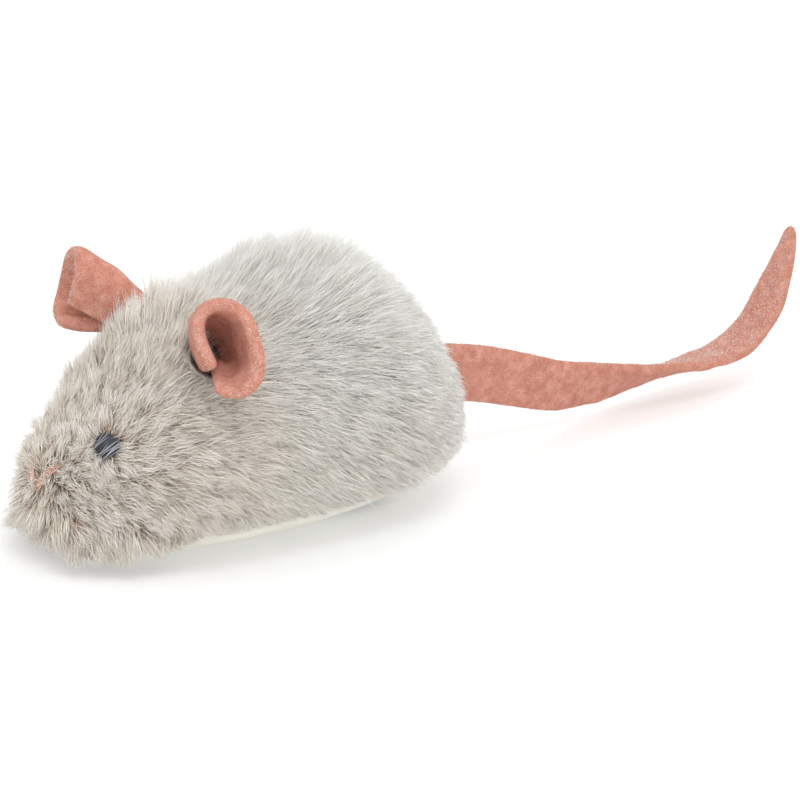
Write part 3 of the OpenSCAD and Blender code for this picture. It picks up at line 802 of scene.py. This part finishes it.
def felt_piece(name, grid, thick, lumpy):
    """A closed slab of felt round a grid of points at its middle, with softly rounded cut edges."""
    rows, cols = grid.shape[:2]
    normal = unit(np.cross(np.gradient(grid, axis=1), np.gradient(grid, axis=0)))
    grid = grid + normal * lumps(grid, 5, lumpy, 11)[..., None]
    i, j = np.indices((rows, cols))
    from_edge = np.minimum.reduce([i, rows - 1 - i, j, cols - 1 - j])
    half = (thick / 2 * np.array([0.45, 0.86, 1])[np.minimum(from_edge, 2)])[..., None]
    faces_at = [grid + normal * half, grid - normal * half]
    points = np.concatenate([f.reshape(-1, 3) for f in faces_at])
    front = grid_faces(rows, cols)
    shift = rows * cols
    faces = front + [tuple(i + shift for i in reversed(f)) for f in front]
    rim = list(range(cols))
    rim += [i * cols + cols - 1 for i in range(1, rows)]
    rim += [(rows - 1) * cols + j for j in range(cols - 2, -1, -1)]
    rim += [i * cols for i in range(rows - 2, 0, -1)]
    faces += [(a + shift, b + shift, b, a) for a, b in zip(rim, rim[1:] + rim[:1])]
    piece = mesh_object(name, at(points), faces)
    piece.modifiers.new("round", "SUBSURF").levels = 1
    apply_modifiers(piece)
    return smooth(piece)


def make_ear(name, ear):
    """A strip of felt rolled into a cup: its ends meet low down at the front, and it is pinched flat where it
    is sewn to the cover. Its free end at the bottom lies open as a flap."""
    around, rise = 66, 22
    side = np.sign(ear["foot"][1])
    back, up, face = ear_axes(ear)
    ground = unit(EAR_GROUND * np.array([1, side, 1]))
    seam = unit(up - ground * (up @ ground))
    across = side * np.cross(seam, ground)
    lip = curve_through(np.column_stack([EAR_LIP, np.zeros(len(EAR_LIP))]), around)
    turn = np.radians(np.linspace(215, 215 - 375, around))
    reach = np.linspace(0.8, 1.15, around) * (1 - 0.5 * ease(np.linspace(0, 1, around), 0.55, 0.75))
    foot = np.column_stack([EAR_PINCH[0] * reach * np.cos(turn), EAR_PINCH[1] * reach * np.sin(turn)])
    flap = ease(np.linspace(0, 1, around), 0.68, 0.85)
    grid = []
    for t in np.linspace(0, 1, rise):
        open_by = (1 - (1 - t) ** 2.3) * (1 - flap) + t**1.2 * flap
        flat = foot + (lip[:, :2] * ear["size"] - foot) * open_by[:, None]
        flare = (ease(t, 0.35, 1) * 1.5 * flap)[:, None]
        level = ease(t, 0, 0.6)
        centre = ear["foot"] + (ear["mouth"] - ear["foot"]) * t
        way_back = across * (1 - level) + back * level
        way_up = seam * (1 - level) + up * level
        grid.append(centre + flat[:, :1] * way_back + (flat[:, 1:] - flare) * way_up + face * 0.6 * flare)
    grid = np.array(grid)
    if side < 0:
        grid = grid[:, ::-1]
    piece = felt_piece(name, grid, EAR_FELT, 0.2)
    paint(piece, FELT_LOOK)
    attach(piece, "root")
    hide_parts(name.replace("felt_", ""))
    # Painted highlight: fuzz on the faces turned the way the ear's mouth faces is paler
    fuzz = make_fuzz(f"{name}_fuzz", piece, 9000, 0.55, face)


def make_fuzz(name, owner, count, length, highlight_way):
    """At most count loose fibres that stand off a felt piece, most of them lying nearly flat. Those on the
    faces that look the highlight way are thicker, there are more of them, and they are paler, which is a
    painted highlight."""
    place, normal = mesh_sites(owner, count * 2)
    seen = normal @ unit(highlight_way)
    picked = rng.random(len(place)) < 0.35 + 0.65 * ease(seen, 0.2, 0.6)
    place, normal = place[picked][:count], normal[picked][:count]
    count = len(place)
    way = unit(np.cross(normal, unit(rng.normal(size=normal.shape))))
    size = length * rng.uniform(0.5, 1.5, count)
    # Painted highlight: fibres on faces turned the highlight way are drawn paler
    pale = ease(normal @ unit(highlight_way), 0.4, 0.85) * rng.uniform(0.4, 1, count)
    lines = grow(place, normal, way, size, rng.uniform(-0.1, 0.9, count), 2)
    fuzz = strand_mesh(name, lines, 0.032 + 0.042 * pale, {"shade": rng.random(count), "pale": pale})
    paint(fuzz, FUZZ_LOOK)
    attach(fuzz, "root")
    return fuzz


def make_tail():
    """One strip of felt, upright at the body, twisting flat and curling up to its cut point."""
    route = curve_through(TAIL, 150)
    along = unit(np.gradient(route[:, :3], axis=0))
    up = unit(np.cross([0, 1, 0], along))
    roll = np.radians(route[:, 3])[:, None]
    wide = np.cos(roll) * up + np.sin(roll) * np.array([0, 1, 0])
    f = np.linspace(0, 1, len(route))
    half = (TAIL_WIDE[0] + (TAIL_WIDE[1] - TAIL_WIDE[0]) * f) / 2
    tip = np.clip((1 - f) / 0.13, 0, 1)
    far = half * tip**0.8
    near = half * (0.06 + 0.94 * tip**0.6)
    cross = np.linspace(0, 1, 13)[None, :, None]
    edge_a = route[:, :3] - wide * far[:, None]
    edge_b = route[:, :3] + wide * near[:, None]
    grid = edge_a[:, None] * (1 - cross) + edge_b[:, None] * cross
    tail = felt_piece("felt_tail", grid, TAIL_FELT, 0.18)
    paint(tail, FELT_LOOK)
    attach(tail, "root")
    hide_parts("tail")
    # Painted highlight: fuzz on the faces turned up and forward is paler
    fuzz = make_fuzz("felt_tail_fuzz", tail, 19000, 0.65, np.array([0.6, 0, 0.8]))


# ---------------------------------------------------------------- stitched face

THREAD_R = 0.17


def threads(name, lines, material, node):
    """Tubes of embroidery thread along the given lines, as one piece."""
    sides, faces, points = 6, [], []
    for line in lines:
        line = np.asarray(line)
        along = unit(np.gradient(line, axis=0))
        across = unit(np.cross(along, [0.31, 0.57, 0.76]))
        over = np.cross(along, across)
        first = len(points)
        end = np.sin(np.linspace(0.25, math.pi - 0.25, len(line)))[:, None] ** 0.3
        for k in range(sides):
            a = 2 * math.pi * k / sides
            points.extend(line + (across * math.cos(a) + over * math.sin(a)) * THREAD_R * end)
        n = len(line)
        for k in range(sides):
            for i in range(n - 1):
                faces.append((first + k * n + i, first + k * n + i + 1,
                              first + (k + 1) % sides * n + i + 1, first + (k + 1) % sides * n + i))
        faces.append(tuple(first + k * n for k in range(sides)))
        faces.append(tuple(first + k * n + n - 1 for k in range(sides))[::-1])
    piece = smooth(mesh_object(name, at(points), faces))
    paint(piece, material)
    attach(piece, "root")
    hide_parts(node)
    return piece


def make_eye(side, material):
    """Satin stitches laid in a low dome, with pale fibres lying across them in three bands."""
    flip = np.array([1, side, 1])
    out = unit(np.array([0.42, 0.74, 0.52]))
    run = unit(np.cross(out, [0.5, -0.35, 0.85]))
    over = np.cross(out, run)
    lines = []
    for k in range(-7, 8):
        off = k * 0.27
        half = math.sqrt(max(2.05**2 - off**2, 0.3))
        lean = 0.12 * (k % 5 - 2)
        u = np.linspace(-1, 1, 9)[:, None]
        dome = 1.05 * (1 - (u * half / 2.6) ** 2 - (off / 3) ** 2)
        line = EYE + run * u * half + over * (off + lean * u * 0.5) + out * (dome + 0.15 * ((k * 7) % 3 - 1))
        lines.append(line * flip)
    name = "left" if side > 0 else "right"
    threads(f"stitched_eye_{name}", lines, material, f"eye_{name}")
    count = 18
    lane = rng.choice([-0.9, 0.5, 1.4], count, p=[0.2, 0.5, 0.3]) + rng.normal(0, 0.12, count)
    start = EYE + out * 0.4 + over * lane[:, None] + run * rng.normal(2.2, 0.3, count)[:, None]
    drift = -run * rng.uniform(3, 4.6, count)[:, None] + over * rng.normal(0, 0.45, count)[:, None]
    stray_fibres(f"eye_fibres_{name}", start * flip, drift * flip, out * flip * 1.25, EYE_FIBRE_LOOK)


def stray_fibres(name, start, drift, arch, material):
    """Single fibres that lie over stitches, each arched as it crosses them."""
    count = len(start)
    t = np.linspace(0, 1, 6)[None, :, None]
    lines = start[:, None] + drift[:, None] * t + arch * (np.sin(t * 2.6) + 0.1)
    fields = {"shade": rng.random(count), "tone": np.full(count, 0.6), "pale": rng.random(count) * 0.5}
    piece = strand_mesh(name, lines, rng.uniform(0.05, 0.08, count), fields)
    paint(piece, material)
    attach(piece, "root")


def make_nose(material):
    """Two arms of satin stitches that meet at the bottom of the nose, with fibres of the pile across them."""
    lines = []
    t = np.linspace(0, 1, 10)[:, None]
    for side in (1, -1):
        for k in range(4):
            shift = np.array([0.05, -0.34, 0.2]) * (k - 1.5)
            low = NOSE_FOOT + shift * 0.6
            line = low + (NOSE_TOP + shift - low) * t + np.array([1, 0.35, 0.4]) * np.sin(math.pi * t) * 0.6
            lines.append(line * np.array([1, side, 1]))
    threads("stitched_nose", lines, material, "nose")
    count = 76
    flip = np.ones((count, 3))
    flip[:, 1] = rng.choice([-1, 1], count)
    part = rng.uniform(-0.05, 1, (count, 1))
    start = NOSE_FOOT + (NOSE_TOP - NOSE_FOOT) * part + rng.normal([0.1, -0.8, 0.1], 0.35, (count, 3))
    drift = rng.normal([-1.1, 1.9, 0.5], 0.5, (count, 3))
    stray_fibres("nose_fibres", start * flip, drift * flip, np.array([0.95, 0, 0.4]), PILE)


# ---------------------------------------------------------------- mechanism

def dress_frame():
    """Materials for the CAD nodes that show."""
    ivory = plastic_material("tray_ivory", (0.88, 0.87, 0.77), 0.4, 0.32, 0.25)
    black = plastic_material("case_black", (0.035, 0.038, 0.042), 0.25, 0.5)
    white = plastic_material("gear_white", (0.82, 0.82, 0.78), 0.3, 0.42)
    hub = plastic_material("hub_white", (0.78, 0.78, 0.74), 0.3, 0.45)
    steel = metal_material("drawn_steel", (0.56, 0.57, 0.59), 0.3, (1, 0.1, 1))
    spring = metal_material("blued_spring", (0.2, 0.23, 0.3), 0.35, (1, 3, 1))
    nickel = metal_material("nickel_plate", (0.62, 0.6, 0.56), 0.24, (1, 1, 0.4), (0.6, 0.58, 0.5))
    brass = metal_material("cut_brass", (0.7, 0.5, 0.2), 0.28, (1, 1, 1), (0.6, 0.52, 0.4))
    rubber = rubber_material()
    finish = {
        "base_tray": ivory, "motor_housing": black, "housing_cover": black, "case_screws": steel,
        "base_screws": steel, "mainspring": spring, "winding_arbor": steel, "great_wheel": brass,
        "winding_key": nickel, "second_shaft": steel, "second_gear": white, "second_pinion": brass,
        "third_shaft": steel, "third_gear": white, "third_pinion": white, "drive_axle": steel,
        "axle_pinion": white, "wheel_left": hub, "wheel_right": hub, "tyre_left": rubber,
        "tyre_right": rubber, "front_roller": hub, "roller_pin": steel,
    }
    for name, material in finish.items():
        for place in nodes[name].material_slots:
            place.link = "OBJECT"
            place.material = material


# ---------------------------------------------------------------- build

PILE = pile_material()
FELT_LOOK = felt_material("salmon_felt", (0.5, 0.2, 0.145), (0.59, 0.262, 0.195), (0.67, 0.34, 0.27))
# The last colour is the painted highlight of fuzz on faces turned the highlight way
FUZZ_LOOK = fuzz_material("salmon_fuzz", (0.5, 0.2, 0.145), (0.76, 0.46, 0.37), (0.97, 0.84, 0.78))
EYE_FIBRE_LOOK = fuzz_material("eye_fibre", (0.12, 0.14, 0.17), (0.5, 0.55, 0.59), (0.84, 0.87, 0.88))
make_camera()
make_stage()
skin = make_skin()
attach(skin, "root")
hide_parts("plush_cover")
make_filling()
make_pile(skin)
make_ear("felt_ear_left", EARS[0])
make_ear("felt_ear_right", EARS[1])
make_tail()
navy = thread_material("navy_thread", (0.01, 0.013, 0.022), (0.05, 0.06, 0.085))
make_eye(1, navy)
make_eye(-1, navy)
make_nose(thread_material("salmon_thread", (0.66, 0.3, 0.23), (0.78, 0.48, 0.41)))
dress_frame()
